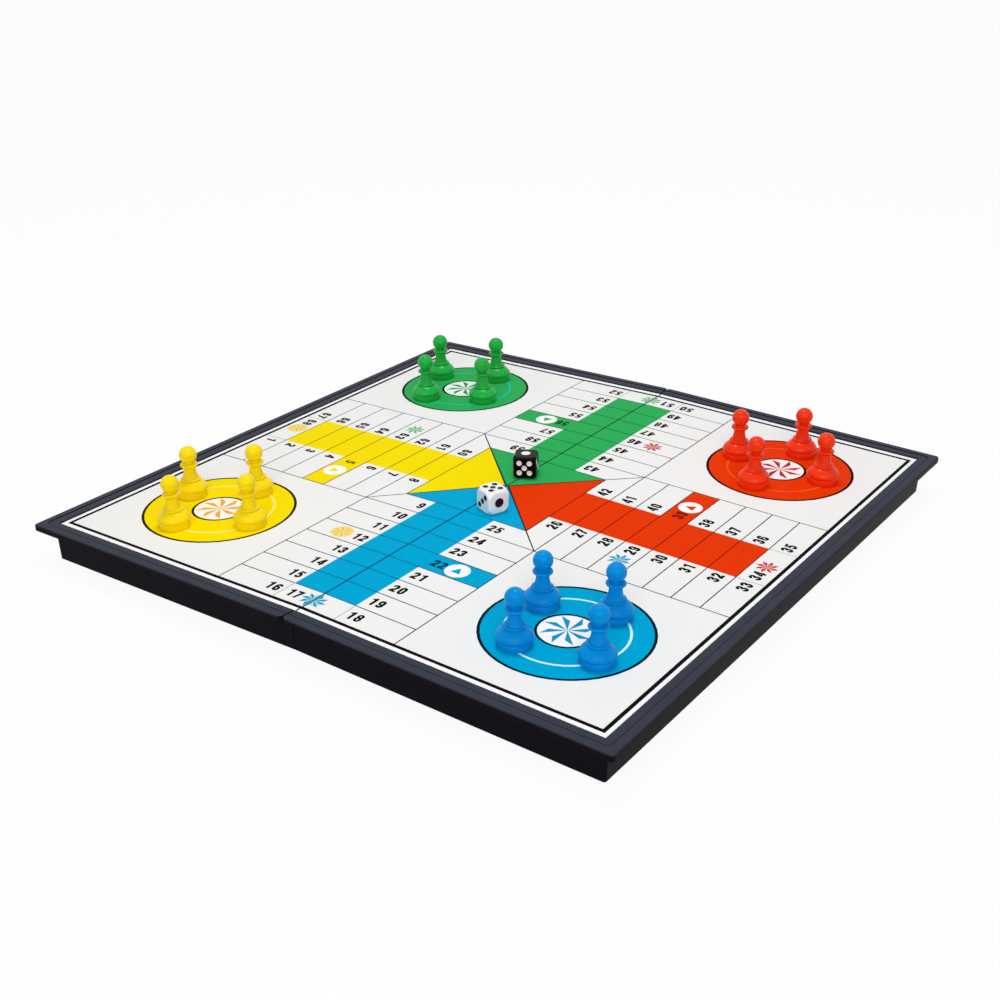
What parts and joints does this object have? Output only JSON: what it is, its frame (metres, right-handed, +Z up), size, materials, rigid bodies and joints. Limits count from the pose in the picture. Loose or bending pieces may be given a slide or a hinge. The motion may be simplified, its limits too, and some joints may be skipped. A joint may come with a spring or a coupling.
{
  "type": "folding ludo board box",
  "caption": "Folding tray case that opens into a ludo board, with hinged halves, magnetic closing, turned pawns and dice standing on the printed surface.",
  "frame": {"origin": "on the table, under the hinge pins, at the middle of the case's length", "axes": "+X across the fold towards the right half, +Y along the hinge towards the back, +Z up"},
  "size_m": [0.3606, 0.36, 0.0506],
  "materials": {
    "case_plastic": "satin moulded, charcoal",
    "tinplate": "plain tinplate",
    "printed_sheet": "glossy laminated print",
    "ferrite": "dull pressed ferrite",
    "pin_steel": "drawn wire",
    "blue_plastic": "glossy",
    "red_plastic": "glossy",
    "green_plastic": "glossy",
    "yellow_plastic": "glossy",
    "white_die": "glossy, slightly clear",
    "black_die": "glossy"
  },
  "bodies": {
    "left_half": {"left_casing": "case_plastic", "left_steel_plate": "tinplate", "left_printed_sheet": "printed_sheet", "left_closing_magnets": "ferrite", "hinge_pin_front": "pin_steel", "hinge_pin_back": "pin_steel"},
    "right_half": {"right_casing": "case_plastic", "right_steel_plate": "tinplate", "right_printed_sheet": "printed_sheet", "right_closing_magnets": "ferrite"},
    "blue_pawn_1": {"blue_pawn_1": "blue_plastic", "blue_pawn_1_magnet": "ferrite"},
    "blue_pawn_2": {"blue_pawn_2": "blue_plastic", "blue_pawn_2_magnet": "ferrite"},
    "blue_pawn_3": {"blue_pawn_3": "blue_plastic", "blue_pawn_3_magnet": "ferrite"},
    "blue_pawn_4": {"blue_pawn_4": "blue_plastic", "blue_pawn_4_magnet": "ferrite"},
    "red_pawn_1": {"red_pawn_1": "red_plastic", "red_pawn_1_magnet": "ferrite"},
    "red_pawn_2": {"red_pawn_2": "red_plastic", "red_pawn_2_magnet": "ferrite"},
    "red_pawn_3": {"red_pawn_3": "red_plastic", "red_pawn_3_magnet": "ferrite"},
    "red_pawn_4": {"red_pawn_4": "red_plastic", "red_pawn_4_magnet": "ferrite"},
    "green_pawn_1": {"green_pawn_1": "green_plastic", "green_pawn_1_magnet": "ferrite"},
    "green_pawn_2": {"green_pawn_2": "green_plastic", "green_pawn_2_magnet": "ferrite"},
    "green_pawn_3": {"green_pawn_3": "green_plastic", "green_pawn_3_magnet": "ferrite"},
    "green_pawn_4": {"green_pawn_4": "green_plastic", "green_pawn_4_magnet": "ferrite"},
    "yellow_pawn_1": {"yellow_pawn_1": "yellow_plastic", "yellow_pawn_1_magnet": "ferrite"},
    "yellow_pawn_2": {"yellow_pawn_2": "yellow_plastic", "yellow_pawn_2_magnet": "ferrite"},
    "yellow_pawn_3": {"yellow_pawn_3": "yellow_plastic", "yellow_pawn_3_magnet": "ferrite"},
    "yellow_pawn_4": {"yellow_pawn_4": "yellow_plastic", "yellow_pawn_4_magnet": "ferrite"},
    "white_die": {"white_die": "white_die"},
    "black_die": {"black_die": "black_die"}
  },
  "joints": [
    {"name": "fold", "type": "hinge", "parent": "left_half", "child": "right_half", "pos_m": [0, 0, 0.0029], "axis": [0, 1, 0], "range_deg": [-2, 178]},
    {"name": "blue_pawn_1_lift", "type": "slide", "parent": "right_half", "child": "blue_pawn_1", "axis": [0.0174, 0, 0.9998], "range_m": [0, 0.045]},
    {"name": "blue_pawn_2_lift", "type": "slide", "parent": "right_half", "child": "blue_pawn_2", "axis": [0.0174, 0, 0.9998], "range_m": [0, 0.045]},
    {"name": "blue_pawn_3_lift", "type": "slide", "parent": "right_half", "child": "blue_pawn_3", "axis": [0.0174, 0, 0.9998], "range_m": [0, 0.045]},
    {"name": "blue_pawn_4_lift", "type": "slide", "parent": "right_half", "child": "blue_pawn_4", "axis": [0.0174, 0, 0.9998], "range_m": [0, 0.045]},
    {"name": "red_pawn_1_lift", "type": "slide", "parent": "right_half", "child": "red_pawn_1", "axis": [0.0174, 0, 0.9998], "range_m": [0, 0.045]},
    {"name": "red_pawn_2_lift", "type": "slide", "parent": "right_half", "child": "red_pawn_2", "axis": [0.0174, 0, 0.9998], "range_m": [0, 0.045]},
    {"name": "red_pawn_3_lift", "type": "slide", "parent": "right_half", "child": "red_pawn_3", "axis": [0.0174, 0, 0.9998], "range_m": [0, 0.045]},
    {"name": "red_pawn_4_lift", "type": "slide", "parent": "right_half", "child": "red_pawn_4", "axis": [0.0174, 0, 0.9998], "range_m": [0, 0.045]},
    {"name": "green_pawn_1_lift", "type": "slide", "parent": "left_half", "child": "green_pawn_1", "axis": [-0.0174, 0, 0.9998], "range_m": [0, 0.045]},
    {"name": "green_pawn_2_lift", "type": "slide", "parent": "left_half", "child": "green_pawn_2", "axis": [-0.0174, 0, 0.9998], "range_m": [0, 0.045]},
    {"name": "green_pawn_3_lift", "type": "slide", "parent": "left_half", "child": "green_pawn_3", "axis": [-0.0174, 0, 0.9998], "range_m": [0, 0.045]},
    {"name": "green_pawn_4_lift", "type": "slide", "parent": "left_half", "child": "green_pawn_4", "axis": [-0.0174, 0, 0.9998], "range_m": [0, 0.045]},
    {"name": "yellow_pawn_1_lift", "type": "slide", "parent": "left_half", "child": "yellow_pawn_1", "axis": [-0.0174, 0, 0.9998], "range_m": [0, 0.045]},
    {"name": "yellow_pawn_2_lift", "type": "slide", "parent": "left_half", "child": "yellow_pawn_2", "axis": [-0.0174, 0, 0.9998], "range_m": [0, 0.045]},
    {"name": "yellow_pawn_3_lift", "type": "slide", "parent": "left_half", "child": "yellow_pawn_3", "axis": [-0.0174, 0, 0.9998], "range_m": [0, 0.045]},
    {"name": "yellow_pawn_4_lift", "type": "slide", "parent": "left_half", "child": "yellow_pawn_4", "axis": [-0.0174, 0, 0.9998], "range_m": [0, 0.045]},
    {"name": "white_die_lift", "type": "slide", "parent": "right_half", "child": "white_die", "axis": [0.0174, 0, 0.9998], "range_m": [0, 0.045]},
    {"name": "black_die_lift", "type": "slide", "parent": "left_half", "child": "black_die", "axis": [-0.0174, 0, 0.9998], "range_m": [0, 0.045]}
  ]
}
